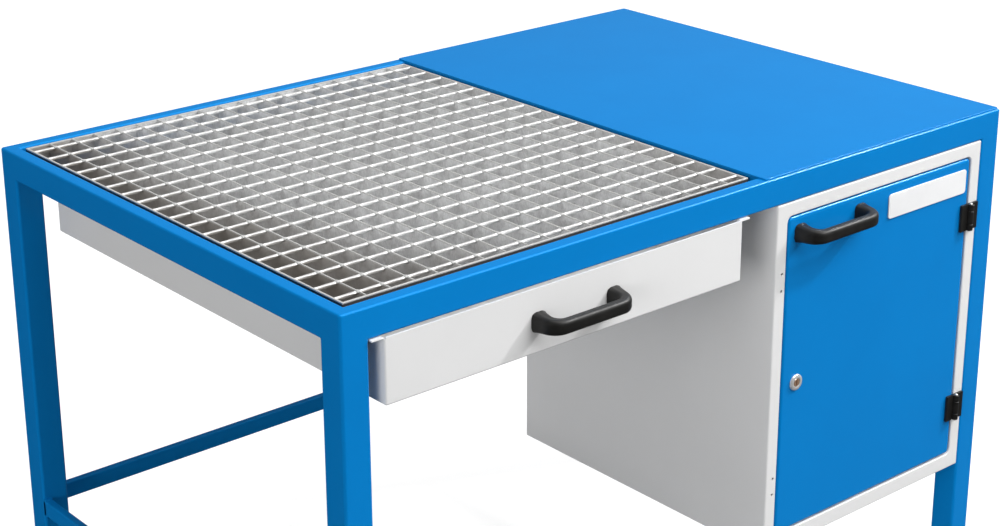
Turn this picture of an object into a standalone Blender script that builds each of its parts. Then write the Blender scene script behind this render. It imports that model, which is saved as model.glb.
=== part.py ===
# Steel table with a lift-out grating over a collecting drawer, and a side cabinet with a hinged door.
# Metres, +Z up. The front faces -Y and the drawer and the cabinet open that way.
import math

import bmesh
import bpy
from mathutils import Vector

for leftover in list(bpy.data.objects):
    bpy.data.objects.remove(leftover, do_unlink=True)

# Whole table
tableWidth = 1.2
tableDepth = 0.8
tableHeight = 0.85
touchGap = 0.0003
cutOverrun = 0.002

# Counts of facets on rounded shapes
cornerSteps = 2
turnedSides = 16
smallSides = 12
bendSteps = 3

# Legs: square tube
legSide = 0.04
legWall = 0.002
legRound = 0.004

# Top rails: upright rectangular tube, mitred into a ring that sits on the legs
railWidth = 0.02
railHeight = 0.04
railWall = 0.002
railRound = 0.003

# Lower rails: flat tube, flush with the outer faces of the legs
lowerThickness = 0.012
lowerHeight = 0.025
lowerWall = 0.0015
lowerRound = 0.002
lowerDrop = 0.535

# Inner corners of every tube, as a share of the outer rounding
innerRoundShare = 0.4

# Cross rail beside the cabinet, and the ledges that carry the grating
crossRailGap = 0.0027
ledgeReach = 0.016
ledgeThickness = 0.003

# Grating: bearing bars front to back, square rods across them, flat bands round the edge
gratingSideGap = 0.006
gratingFrontGap = 0.01
gratingBackGap = 0.005
gratingDrop = 0.001
gratingHeight = 0.025
barThickness = 0.002
bandThickness = 0.003
rodSide = 0.0055
rodProud = 0.0005
barPitch = 0.035
rodPitch = 0.0395

# Sheet that covers the frame beside the grating
sheetThickness = 0.002
sheetInset = 0.0025
sheetRound = 0.004

# Drawer: open tray of five sheets, hung by flanges folded outwards from its sides
drawerHeight = 0.085
drawerSheet = 0.002
drawerProud = 0.006
drawerSideGap = 0.001
drawerBackGap = 0.006
drawerRunGap = 0.0005
flangeWidth = 0.016
drawerHandleDrop = 0.044

# Runners: angles on the inside of the left rail and of the cross rail
runnerSheet = 0.002
runnerRise = 0.02
runnerClear = 0.003
rightRunnerReach = 0.0495

# Cabinet: folded sheet box with a face frame whose edges turn inwards round the door
cabinetWidth = 0.44
cabinetDepth = 0.51
cabinetHeight = 0.526
cabinetSheet = 0.0015
stripSide = 0.0205
stripTop = 0.02
stripBottom = 0.024
lipBehindDoor = 0.002
stripHoleInset = 0.0135
stripHoleRadius = 0.0018
stripHolePitch = 0.025

# Door: shallow tray set into the face frame
doorGap = 0.002
doorThickness = 0.018
doorSheet = 0.0015
doorCornerRound = 0.007
doorEdgeRound = 0.005

# Hinges: two leaves on a pin, standing in front of the gap beside the door
hingeHeight = 0.041
hingeLeafWidth = 0.019
hingeLeafThickness = 0.004
knuckleRadius = 0.005
knuckleFaceGap = 0.0005
knuckleClear = 0.0006
pinRadius = 0.0025
pinProud = 0.0015
upperHingeDrop = 0.091
lowerHingeRise = 0.079
middleKnuckleShare = 0.5

# Handles: bowed grip on two flared feet
handleSpan = 0.124
gripReach = 0.032
gripHeight = 0.018
gripDepth = 0.014
footHeight = 0.026
footWidth = 0.023
footRise = 0.005
bendRadius = 0.017
handleScrewRadius = 0.0022
handleScrewDepth = 0.012
screwHeadRadius = 0.0045
screwHeadHeight = 0.003
doorHandleInset = 0.086
doorHandleDrop = 0.026

# Cam lock
lockInset = 0.029
lockDrop = 0.01
lockPlugRadius = 0.006
lockBarrelWall = 0.0032
lockFlangeWidth = 0.0025
lockFlangeHeight = 0.003
lockFlangeBevel = 0.001
lockSpigotRadius = 0.003
lockNutWidth = 0.004
lockNutHeight = 0.004
keySlotWidth = 0.0014
keySlotLength = 0.007
keySlotDepth = 0.002
camWidth = 0.014
camThickness = 0.0025
camCatch = 0.004
camGap = 0.001

# Plain plate on the door
plateHandleGap = 0.05
plateEdgeGap = 0.0105
plateHeight = 0.0365
plateThickness = 0.0015
plateRound = 0.005
plateDrop = 0.033

# Places that several pieces share
leftSide = -tableWidth / 2
rightSide = tableWidth / 2
railBottom = tableHeight - railHeight
cabinetTop = railBottom - touchGap
cabinetRight = rightSide - legSide - touchGap
cabinetLeft = cabinetRight - cabinetWidth
cabinetBottom = cabinetTop - cabinetHeight
bayLeft = leftSide + railWidth
bayRight = cabinetLeft - crossRailGap - railWidth
bayWidth = bayRight - bayLeft
bayDepth = tableDepth - 2 * railWidth
drawerLeft = leftSide + legSide + drawerSideGap + flangeWidth
drawerRight = bayRight - rightRunnerReach - runnerClear
drawerWidth = drawerRight - drawerLeft
drawerBack = tableDepth - legSide - drawerBackGap
drawerDepth = drawerBack + drawerProud
drawerWallRoom = 2 * (drawerSheet + touchGap)
drawerTop = railBottom - drawerRunGap
runnerTop = drawerTop - drawerSheet - touchGap
doorWidth = cabinetWidth - 2 * (stripSide + doorGap)
doorHeight = cabinetHeight - stripTop - stripBottom - 2 * doorGap
doorLeft = cabinetLeft + stripSide + doorGap
doorRight = doorLeft + doorWidth
doorTop = cabinetTop - stripTop - doorGap
doorBottom = doorTop - doorHeight
doorMiddle = (doorTop + doorBottom) / 2
lipDepth = doorThickness + lipBehindDoor
hingeAxisX = doorRight + doorGap / 2
hingePlaces = {"upper": doorTop - upperHingeDrop, "lower": doorBottom + lowerHingeRise}
knuckleStand = knuckleRadius + knuckleFaceGap
lockX = doorLeft + lockInset
lockZ = doorMiddle - lockDrop
lockBarrelRadius = lockPlugRadius + touchGap + lockBarrelWall
handleEnd = handleSpan / 2 + footWidth / 2
plateRight = doorRight - plateEdgeGap
plateLeft = doorLeft + doorHandleInset + handleEnd + plateHandleGap
handleFront = gripReach + gripDepth / 2
frontReach = drawerProud + touchGap + handleFront

# Turns: a rail's length lies along its own Z, and a panel's front is its own +Z
alongX = math.radians(90)
facingFront = (math.radians(90), 0, 0)
upright = (0, 0, 0)


# Materials
def makeMaterial(name, colour, roughness, metallic):
    material = bpy.data.materials.new(name)
    material.use_nodes = True
    shader = material.node_tree.nodes["Principled BSDF"]
    shader.inputs["Base Color"].default_value = (*colour, 1)
    shader.inputs["Roughness"].default_value = roughness
    shader.inputs["Metallic"].default_value = metallic
    return material


bluePaint = makeMaterial("blue_paint", (0.012, 0.2, 0.56), 0.35, 0)
greyPaint = makeMaterial("grey_paint", (0.66, 0.67, 0.67), 0.4, 0)
galvanised = makeMaterial("galvanised_steel", (0.56, 0.58, 0.6), 0.35, 1)
blackPlastic = makeMaterial("black_plastic", (0.018, 0.018, 0.019), 0.5, 0)
chrome = makeMaterial("chrome", (0.78, 0.78, 0.78), 0.12, 1)
zincSteel = makeMaterial("zinc_steel", (0.6, 0.6, 0.58), 0.35, 1)
whitePlate = makeMaterial("white_plate", (0.82, 0.82, 0.83), 0.3, 0)


# Shapes, each made round its own origin
def roundedOutline(width, height, rounding):
    points = []
    centres = ((1, 1), (-1, 1), (-1, -1), (1, -1))
    for quarter, (signX, signY) in enumerate(centres):
        for step in range(cornerSteps + 1):
            angle = math.radians(90) * (quarter + step / cornerSteps)
            x = signX * (width / 2 - rounding) + rounding * math.cos(angle)
            y = signY * (height / 2 - rounding) + rounding * math.sin(angle)
            points.append((x, y))
    return points


def ringAt(outline, height):
    return [Vector((x, y, height)) for x, y in outline]


def circleAt(radius, height, sides):
    angles = [2 * math.pi * side / sides for side in range(sides)]
    return [Vector((radius * math.cos(a), radius * math.sin(a), height)) for a in angles]


def skin(rings, loop=False):
    """Faces between neighbouring rings; the first and last are capped, or joined to each other."""
    mesh = bmesh.new()
    rows = [[mesh.verts.new(point) for point in ring] for ring in rings]
    pairs = list(zip(rows, rows[1:]))
    if loop:
        pairs.append((rows[-1], rows[0]))
    else:
        mesh.faces.new(reversed(rows[0]))
        mesh.faces.new(rows[-1])
    for lower, upper in pairs:
        for here in range(len(lower)):
            there = (here + 1) % len(lower)
            mesh.faces.new((lower[here], lower[there], upper[there], upper[here]))
    bmesh.ops.recalc_face_normals(mesh, faces=mesh.faces)
    return mesh


def boxShape(width, depth, height):
    mesh = bmesh.new()
    bmesh.ops.create_cube(mesh, size=1)
    bmesh.ops.scale(mesh, vec=(width, depth, height), verts=mesh.verts)
    return mesh


def cylinderShape(radius, height, sides=turnedSides):
    return skin([circleAt(radius, -height / 2, sides), circleAt(radius, height / 2, sides)])


def tubeShape(width, depth, length, wall, rounding, closedEnd=False):
    outer = roundedOutline(width, depth, rounding)
    inner = roundedOutline(width - 2 * wall, depth - 2 * wall, rounding * innerRoundShare)
    ends = [ringAt(outer, -length / 2), ringAt(outer, length / 2), ringAt(inner, length / 2)]
    if closedEnd:
        return skin([*ends, ringAt(inner, wall - length / 2)])
    return skin([*ends, ringAt(inner, -length / 2)], loop=True)


def slabShape(width, height, depth, cornerRound, edgeRound=0):
    """Flat slab whose front at +Z has rounded edges; its back lies at z = 0."""
    rings = [ringAt(roundedOutline(width, height, cornerRound), 0)]
    steps = cornerSteps if edgeRound else 0
    for step in range(steps + 1):
        angle = math.radians(90) * step / cornerSteps
        inset = edgeRound * (1 - math.cos(angle))
        outline = roundedOutline(width - 2 * inset, height - 2 * inset, cornerRound - inset)
        rings.append(ringAt(outline, depth - edgeRound * (1 - math.sin(angle))))
    return skin(rings)


def mitre(mesh, length):
    """Cuts both ends of a rail at 45 degrees; the outer face, at -Y, keeps the full length."""
    for vert in mesh.verts:
        fromOuterFace = vert.co.y + railWidth / 2
        reach = length / 2 - fromOuterFace - touchGap
        vert.co.z = math.copysign(reach, vert.co.z)


# Placing
def addEmpty(name, spot, parent=None):
    empty = bpy.data.objects.new(name, None)
    bpy.context.collection.objects.link(empty)
    empty.location = spot
    empty.parent = parent
    return empty


def addPiece(name, mesh, material, spot, parent, turn=upright, smoothAngle=30):
    data = bpy.data.meshes.new(name)
    mesh.to_mesh(data)
    mesh.free()
    data.materials.append(material)
    data.shade_smooth()
    data.set_sharp_from_angle(angle=math.radians(smoothAngle))
    piece = bpy.data.objects.new(name, data)
    bpy.context.collection.objects.link(piece)
    piece.location = spot
    piece.rotation_euler = turn
    piece.parent = parent
    return piece


def reshape(piece, operation, mesh, spot, turn=upright):
    """Joins a shape to a piece, or cuts it away; spot is given in the space of the piece's parent."""
    name = f"{piece.name}_{operation.lower()}_{len(piece.modifiers)}"
    tool = addPiece(name, mesh, piece.data.materials[0], spot, piece.parent, turn)
    tool.hide_render = True
    tool.display_type = "WIRE"
    modifier = piece.modifiers.new(name, "BOOLEAN")
    modifier.operation = operation
    modifier.object = tool
    return tool


table = addEmpty("table_origin", (0, (frontReach - tableDepth) / 2, 0))
gratingLift = addEmpty("grating_lift", (0, 0, 0), table)
drawerSlide = addEmpty("drawer_slide", (0, 0, 0), table)
doorAxis = addEmpty("door_axis", (hingeAxisX, -knuckleStand, 0), table)
lockAxis = addEmpty("lock_axis", (lockX - hingeAxisX, knuckleStand, lockZ), doorAxis)


def onDoor(x, y, z):
    """A place on the table, given in the space of the door's axis."""
    return (x - hingeAxisX, y + knuckleStand, z)


# Frame
def addLegs():
    length = railBottom - touchGap
    inset = legSide / 2
    rows = {"front": inset, "back": tableDepth - inset}
    columns = {"left": leftSide + inset, "right": rightSide - inset}
    for row, y in rows.items():
        for column, x in columns.items():
            mesh = tubeShape(legSide, legSide, length, legWall, legRound, closedEnd=True)
            addPiece(f"leg_{row}_{column}", mesh, bluePaint, (x, y, length / 2), table)


def addTopRails():
    inset = railWidth / 2
    height = tableHeight - railHeight / 2
    middle = tableDepth / 2
    sides = {
        "front": (0, tableWidth, (0, inset, height)),
        "right": (90, tableDepth, (rightSide - inset, middle, height)),
        "back": (180, tableWidth, (0, tableDepth - inset, height)),
        "left": (-90, tableDepth, (leftSide + inset, middle, height)),
    }
    for side, (heading, length, spot) in sides.items():
        mesh = tubeShape(railHeight, railWidth, length, railWall, railRound)
        mitre(mesh, length)
        turn = (0, alongX, math.radians(heading))
        addPiece(f"top_rail_{side}", mesh, bluePaint, spot, table, turn)
    crossLength = bayDepth - 2 * touchGap
    mesh = tubeShape(railHeight, railWidth, crossLength, railWall, railRound)
    spot = (bayRight + railWidth / 2, middle, height)
    addPiece("cross_rail", mesh, bluePaint, spot, table, (0, alongX, math.radians(90)))


def addLowerRails():
    inset = lowerThickness / 2
    height = tableHeight - lowerDrop - lowerHeight / 2
    middle = tableDepth / 2
    sides = {
        "right": (90, tableDepth, (rightSide - inset, middle, height)),
        "back": (180, tableWidth, (0, tableDepth - inset, height)),
        "left": (-90, tableDepth, (leftSide + inset, middle, height)),
    }
    for side, (heading, span, spot) in sides.items():
        length = span - 2 * (legSide + touchGap)
        mesh = tubeShape(lowerHeight, lowerThickness, length, lowerWall, lowerRound)
        turn = (0, alongX, math.radians(heading))
        addPiece(f"lower_rail_{side}", mesh, bluePaint, spot, table, turn)


# Grating and the ledges that carry it
def addLedges():
    width = bayWidth - 2 * touchGap
    x = (bayLeft + bayRight) / 2
    top = tableHeight - gratingDrop - gratingHeight - touchGap
    z = top - ledgeThickness / 2
    inset = railWidth + touchGap + ledgeReach / 2
    for side, y in {"front": inset, "back": tableDepth - inset}.items():
        mesh = boxShape(width, ledgeReach, ledgeThickness)
        addPiece(f"grating_ledge_{side}", mesh, bluePaint, (x, y, z), table)


def joinBoxes(places, size):
    mesh = bmesh.new()
    for place in places:
        made = bmesh.ops.create_cube(mesh, size=1)["verts"]
        bmesh.ops.scale(mesh, vec=size, verts=made)
        bmesh.ops.translate(mesh, vec=place, verts=made)
    return mesh


def addGrating():
    width = bayWidth - 2 * gratingSideGap
    depth = bayDepth - gratingFrontGap - gratingBackGap
    y = railWidth + gratingFrontGap + depth / 2
    spot = ((bayLeft + bayRight) / 2, y, tableHeight - gratingDrop - gratingHeight / 2)
    outer = [(x * width / 2, y * depth / 2) for x, y in ((1, 1), (-1, 1), (-1, -1), (1, -1))]
    innerWidth = width - 2 * bandThickness
    innerDepth = depth - 2 * bandThickness
    inner = [(x * innerWidth / 2, y * innerDepth / 2) for x, y in ((1, 1), (-1, 1), (-1, -1), (1, -1))]
    half = gratingHeight / 2
    rings = [ringAt(outer, -half), ringAt(outer, half), ringAt(inner, half), ringAt(inner, -half)]
    grating = addPiece("grating", skin(rings, loop=True), galvanised, spot, gratingLift)
    cellsAcross = round((width - barThickness) / barPitch)
    cell = (width - barThickness) / cellsAcross
    bars = [((bar - cellsAcross / 2) * cell, 0, 0) for bar in range(1, cellsAcross)]
    barMesh = joinBoxes(bars, (barThickness, depth - bandThickness, gratingHeight))
    reshape(grating, "UNION", barMesh, spot)
    rodsDeep = round(depth / rodPitch)
    pitch = depth / rodsDeep
    rodZ = half + rodProud - rodSide / 2
    rods = [(0, (rod + 0.5 - rodsDeep / 2) * pitch, rodZ) for rod in range(rodsDeep)]
    rodMesh = joinBoxes(rods, (width - bandThickness, rodSide, rodSide))
    reshape(grating, "UNION", rodMesh, spot)


def addSheet():
    width = rightSide - sheetInset - bayRight
    depth = tableDepth - 2 * sheetInset
    spot = (bayRight + width / 2, tableDepth / 2, tableHeight + touchGap)
    addPiece("side_top", slabShape(width, depth, sheetThickness, sheetRound), bluePaint, spot, table)


# Drawer and its runners
def addRunner(side, wallX, ledgeEnd):
    """Angle whose upright web lies against a rail at wallX and whose ledge reaches to ledgeEnd."""
    inward = math.copysign(1, ledgeEnd - wallX)
    faceX = wallX + inward * touchGap
    webX = faceX + inward * runnerSheet
    top = railBottom + runnerRise
    bottom = runnerTop - runnerSheet
    outline = [
        (faceX, bottom),
        (ledgeEnd, bottom),
        (ledgeEnd, runnerTop),
        (webX, runnerTop),
        (webX, top),
        (faceX, top),
    ]
    length = tableDepth - 2 * (legSide + touchGap)
    local = [(x - wallX, z - runnerTop) for x, z in outline]
    mesh = skin([ringAt(local, -length / 2), ringAt(local, length / 2)])
    addPiece(f"runner_{side}", mesh, galvanised, (wallX, tableDepth / 2, runnerTop), table, facingFront)


def addDrawerSide(side, outerX, outward):
    """Upright sheet between the front and the back, with the flange that hangs on the runner."""
    outline = [
        (0, 0),
        (outward * flangeWidth, 0),
        (outward * flangeWidth, -drawerSheet),
        (0, -drawerSheet),
        (0, -drawerHeight),
        (-outward * drawerSheet, -drawerHeight),
        (-outward * drawerSheet, 0),
    ]
    length = drawerDepth - drawerWallRoom
    mesh = skin([ringAt(outline, -length / 2), ringAt(outline, length / 2)])
    spot = (outerX, drawerBack - drawerDepth / 2, drawerTop)
    addPiece(f"drawer_side_{side}", mesh, greyPaint, spot, drawerSlide, facingFront)


def addDrawer():
    x = (drawerLeft + drawerRight) / 2
    middle = drawerBack - drawerDepth / 2
    bottomZ = drawerTop - drawerHeight + drawerSheet / 2
    bottom = boxShape(drawerWidth - drawerWallRoom, drawerDepth - drawerWallRoom, drawerSheet)
    addPiece("drawer_bottom", bottom, greyPaint, (x, middle, bottomZ), drawerSlide)
    endZ = drawerTop - drawerHeight / 2
    frontY = drawerSheet / 2 - drawerProud
    front = boxShape(drawerWidth, drawerSheet, drawerHeight)
    frontPiece = addPiece("drawer_front", front, greyPaint, (x, frontY, endZ), drawerSlide)
    back = boxShape(drawerWidth, drawerSheet, drawerHeight)
    backY = drawerBack - drawerSheet / 2
    addPiece("drawer_back", back, greyPaint, (x, backY, endZ), drawerSlide)
    addDrawerSide("left", drawerLeft, -1)
    addDrawerSide("right", drawerRight, 1)
    panel = (x, -drawerProud, drawerTop - drawerHandleDrop)
    drillForHandle(frontPiece, panel, drawerSheet)
    addHandle("drawer_handle", panel, drawerSheet, drawerSlide)


# Handles
def armSections():
    """Oval sections along one arm and half of the grip, then mirrored to the other arm."""
    straight = gripReach - bendRadius
    length = straight + bendRadius * math.radians(90)
    stops = [(0, 0), (footRise, 0)]
    for step in range(bendSteps + 1):
        stops.append((straight, math.radians(90) * step / bendSteps))
    sections = []
    for rise, turned in stops:
        across = bendRadius * (1 - math.cos(turned))
        out = rise + bendRadius * math.sin(turned)
        along = rise + bendRadius * turned
        blend = math.sqrt(max(0, along - footRise) / (length - footRise))
        tall = footHeight + (gripHeight - footHeight) * blend
        thick = footWidth + (gripDepth - footWidth) * blend
        sections.append((across - handleSpan / 2, out, turned, tall, thick))
    return sections


def ovalRing(x, out, turned, tall, thick):
    """The section lies across the path, which leans from the panel's normal by the angle turned."""
    ring = []
    for side in range(smallSides):
        angle = 2 * math.pi * side / smallSides
        offset = thick / 2 * math.cos(angle)
        height = tall / 2 * math.sin(angle)
        ring.append(Vector((x + offset * math.cos(turned), height, out - offset * math.sin(turned))))
    return ring


def handleShape():
    sections = armSections()
    rings = [ovalRing(*section) for section in sections]
    for x, out, turned, tall, thick in reversed(sections):
        rings.append(ovalRing(-x, out, math.pi - turned, tall, thick))
    return skin(rings)


def screwPlaces(panel):
    x, y, z = panel
    return {"left": (x - handleSpan / 2, y, z), "right": (x + handleSpan / 2, y, z)}


def drillForHandle(piece, panel, sheet):
    depth = sheet + 2 * cutOverrun
    for x, y, z in screwPlaces(panel).values():
        hole = cylinderShape(handleScrewRadius + touchGap, depth, smallSides)
        reshape(piece, "DIFFERENCE", hole, (x, y + sheet / 2, z), facingFront)


def addHandle(name, panel, sheet, parent):
    x, y, z = panel
    handle = addPiece(name, handleShape(), blackPlastic, (x, y - touchGap, z), parent, facingFront, 60)
    for side, (screwX, screwY, screwZ) in screwPlaces(panel).items():
        bore = cylinderShape(handleScrewRadius + touchGap, 2 * handleScrewDepth, smallSides)
        reshape(handle, "DIFFERENCE", bore, (screwX, screwY, screwZ), facingFront)
        headBack = sheet + touchGap + screwHeadHeight
        shankEnd = handleScrewDepth - 2 * touchGap
        profile = [
            circleAt(screwHeadRadius, -headBack, smallSides),
            circleAt(screwHeadRadius, screwHeadHeight - headBack, smallSides),
            circleAt(handleScrewRadius, screwHeadHeight - headBack, smallSides),
            circleAt(handleScrewRadius, shankEnd, smallSides),
        ]
        spot = (screwX, screwY, screwZ)
        addPiece(f"{name}_screw_{side}", skin(profile), zincSteel, spot, parent, facingFront)


# Cabinet
def addCabinet():
    x = (cabinetLeft + cabinetRight) / 2
    middle = cabinetDepth / 2
    z = (cabinetTop + cabinetBottom) / 2
    body = boxShape(cabinetWidth, cabinetDepth, cabinetHeight)
    cabinet = addPiece("cabinet", body, greyPaint, (x, middle, z), table)
    innerWidth = cabinetWidth - 2 * cabinetSheet
    innerDepth = cabinetDepth - 2 * cabinetSheet
    innerHeight = cabinetHeight - 2 * cabinetSheet
    reshape(cabinet, "DIFFERENCE", boxShape(innerWidth, innerDepth, innerHeight), (x, middle, z))
    openWidth = doorWidth + 2 * doorGap
    openHeight = doorHeight + 2 * doorGap
    openRound = doorCornerRound + doorGap
    doorX = (doorLeft + doorRight) / 2
    lip = slabShape(openWidth + 2 * cabinetSheet, openHeight + 2 * cabinetSheet,
                    lipDepth - cabinetSheet / 2, openRound + cabinetSheet)
    reshape(cabinet, "UNION", lip, (doorX, lipDepth, doorMiddle), facingFront)
    mouth = slabShape(openWidth, openHeight, lipDepth + 2 * cutOverrun, openRound)
    reshape(cabinet, "DIFFERENCE", mouth, (doorX, lipDepth + cutOverrun, doorMiddle), facingFront)
    holeX = cabinetLeft + stripHoleInset
    for hingeZ in hingePlaces.values():
        for holeZ in (hingeZ - stripHolePitch / 2, hingeZ + stripHolePitch / 2):
            hole = cylinderShape(stripHoleRadius, cabinetSheet + 2 * cutOverrun, smallSides)
            reshape(cabinet, "DIFFERENCE", hole, (holeX, cabinetSheet / 2, holeZ), facingFront)


# Door and what it carries
def addDoor():
    x = (doorLeft + doorRight) / 2
    mesh = slabShape(doorWidth, doorHeight, doorThickness, doorCornerRound, doorEdgeRound)
    spot = onDoor(x, doorThickness, doorMiddle)
    door = addPiece("door", mesh, bluePaint, spot, doorAxis, facingFront)
    innerRound = doorCornerRound - doorSheet
    hollow = slabShape(doorWidth - 2 * doorSheet, doorHeight - 2 * doorSheet,
                       doorThickness - doorSheet + cutOverrun, innerRound, doorEdgeRound - doorSheet)
    reshape(door, "DIFFERENCE", hollow, onDoor(x, doorThickness + cutOverrun, doorMiddle), facingFront)
    lockHole = cylinderShape(lockBarrelRadius + touchGap, doorSheet + 2 * cutOverrun)
    reshape(door, "DIFFERENCE", lockHole, onDoor(lockX, doorSheet / 2, lockZ), facingFront)
    panel = onDoor(doorLeft + doorHandleInset, 0, doorTop - doorHandleDrop)
    drillForHandle(door, panel, doorSheet)
    addHandle("door_handle", panel, doorSheet, doorAxis)
    plate = slabShape(plateRight - plateLeft, plateHeight, plateThickness, plateRound)
    plateSpot = onDoor((plateLeft + plateRight) / 2, -touchGap, doorTop - plateDrop)
    addPiece("door_plate", plate, whitePlate, plateSpot, doorAxis, facingFront)


# Hinges
def addHinge(label, z):
    """The door's leaf has the middle knuckle, and the frame's leaf the two outer ones."""
    middle = hingeHeight * middleKnuckleShare
    outer = (hingeHeight - middle) / 2
    faceY = knuckleStand - touchGap - hingeLeafThickness / 2
    outerZ = middle / 2 + outer / 2
    owners = {
        "door": (-1, doorAxis, Vector((0, 0, z)), {0: middle}, {-outerZ: outer, outerZ: outer}),
        "frame": (1, table, Vector((hingeAxisX, -knuckleStand, z)),
                  {-outerZ: outer, outerZ: outer}, {0: middle}),
    }
    for owner, (side, parent, axis, own, other) in owners.items():
        plate = boxShape(hingeLeafWidth, hingeLeafThickness, hingeHeight)
        spot = axis + Vector((side * hingeLeafWidth / 2, faceY, 0))
        leaf = addPiece(f"hinge_{label}_{owner}_leaf", plate, blackPlastic, spot, parent)
        for height, length in own.items():
            knuckle = cylinderShape(knuckleRadius, length - 2 * touchGap)
            reshape(leaf, "UNION", knuckle, axis + Vector((0, 0, height)))
        for height, length in other.items():
            room = cylinderShape(knuckleRadius + knuckleClear, length + 2 * touchGap)
            reshape(leaf, "DIFFERENCE", room, axis + Vector((0, 0, height)))
        bore = cylinderShape(pinRadius + touchGap, hingeHeight + 2 * cutOverrun)
        reshape(leaf, "DIFFERENCE", bore, axis)
    pinLength = hingeHeight + 2 * pinProud
    pin = cylinderShape(pinRadius, pinLength)
    addPiece(f"hinge_{label}_pin", pin, zincSteel, (hingeAxisX, -knuckleStand, z), table)


# Lock
def addLock():
    """The housing is fixed to the door by its nut; the plug turns in it and carries the cam."""
    camFront = lipDepth + camGap
    rear = -camFront + touchGap
    boreRadius = lockPlugRadius + touchGap
    flangeRadius = lockBarrelRadius + lockFlangeWidth
    front = lockFlangeHeight + touchGap
    spot = onDoor(lockX, 0, lockZ)
    housing = [
        (boreRadius, front),
        (flangeRadius - lockFlangeBevel, front),
        (flangeRadius, front - lockFlangeBevel),
        (flangeRadius, touchGap),
        (lockBarrelRadius, touchGap),
        (lockBarrelRadius, rear),
        (boreRadius, rear),
    ]
    rings = [circleAt(radius, height, turnedSides) for radius, height in housing]
    addPiece("lock_housing", skin(rings, loop=True), chrome, spot, doorAxis, facingFront)
    nutFront = -doorSheet - touchGap
    holeRadius = lockBarrelRadius + touchGap
    nutRadius = holeRadius + lockNutWidth
    nut = [
        (holeRadius, nutFront),
        (nutRadius, nutFront),
        (nutRadius, nutFront - lockNutHeight),
        (holeRadius, nutFront - lockNutHeight),
    ]
    rings = [circleAt(radius, height, turnedSides) for radius, height in nut]
    addPiece("lock_nut", skin(rings, loop=True), zincSteel, spot, doorAxis, facingFront)
    spigotEnd = -camFront - camThickness - touchGap
    plug = [
        (lockSpigotRadius, spigotEnd),
        (lockSpigotRadius, rear),
        (lockPlugRadius, rear),
        (lockPlugRadius, front - touchGap),
    ]
    rings = [circleAt(radius, height, turnedSides) for radius, height in plug]
    plugPiece = addPiece("lock_plug", skin(rings), chrome, (0, 0, 0), lockAxis, facingFront)
    slot = boxShape(keySlotWidth, keySlotLength, 2 * keySlotDepth)
    reshape(plugPiece, "DIFFERENCE", slot, (0, -front, 0), facingFront)
    addCam(camFront)


def addCam(camFront):
    """Points down when the door is free; a quarter turn swings it behind the lip of the face frame."""
    reach = lockInset + doorGap + cabinetSheet + camCatch
    half = camWidth / 2
    outline = []
    for step in range(smallSides + 1):
        angle = math.pi * step / smallSides
        outline.append((half * math.cos(angle), half * math.sin(angle)))
    outline.append((-half, -reach))
    outline.append((half, -reach))
    rings = [ringAt(outline, -camThickness), ringAt(outline, 0)]
    cam = addPiece("lock_cam", skin(rings), zincSteel, (0, camFront, 0), lockAxis, facingFront)
    bore = cylinderShape(lockSpigotRadius + touchGap, camThickness + 2 * cutOverrun)
    reshape(cam, "DIFFERENCE", bore, (0, camFront + camThickness / 2, 0), facingFront)


def main():
    addLegs()
    addTopRails()
    addLowerRails()
    addLedges()
    addGrating()
    addSheet()
    addRunner("left", bayLeft, drawerLeft - runnerClear)
    addRunner("right", bayRight, bayRight - rightRunnerReach)
    addDrawer()
    addCabinet()
    addDoor()
    for label, z in hingePlaces.items():
        addHinge(label, z)
    addLock()


main()
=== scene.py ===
import math

import bmesh
import bpy
from mathutils import Matrix, Vector


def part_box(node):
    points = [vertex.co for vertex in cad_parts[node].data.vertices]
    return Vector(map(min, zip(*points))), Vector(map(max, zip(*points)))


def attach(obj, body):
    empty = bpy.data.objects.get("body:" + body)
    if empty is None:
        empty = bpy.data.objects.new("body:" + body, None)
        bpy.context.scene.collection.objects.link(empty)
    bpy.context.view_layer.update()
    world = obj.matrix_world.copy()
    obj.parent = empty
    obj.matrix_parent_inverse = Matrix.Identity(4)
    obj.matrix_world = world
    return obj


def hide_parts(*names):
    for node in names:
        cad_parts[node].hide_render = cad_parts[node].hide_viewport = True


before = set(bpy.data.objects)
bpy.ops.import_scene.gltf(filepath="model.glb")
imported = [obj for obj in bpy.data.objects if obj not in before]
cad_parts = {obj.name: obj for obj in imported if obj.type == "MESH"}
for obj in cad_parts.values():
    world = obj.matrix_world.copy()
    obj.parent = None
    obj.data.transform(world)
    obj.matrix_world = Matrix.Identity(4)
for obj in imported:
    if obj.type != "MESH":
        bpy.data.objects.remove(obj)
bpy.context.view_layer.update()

right, back, up = Vector((1, 0, 0)), Vector((0, 1, 0)), Vector((0, 0, 1))


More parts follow.
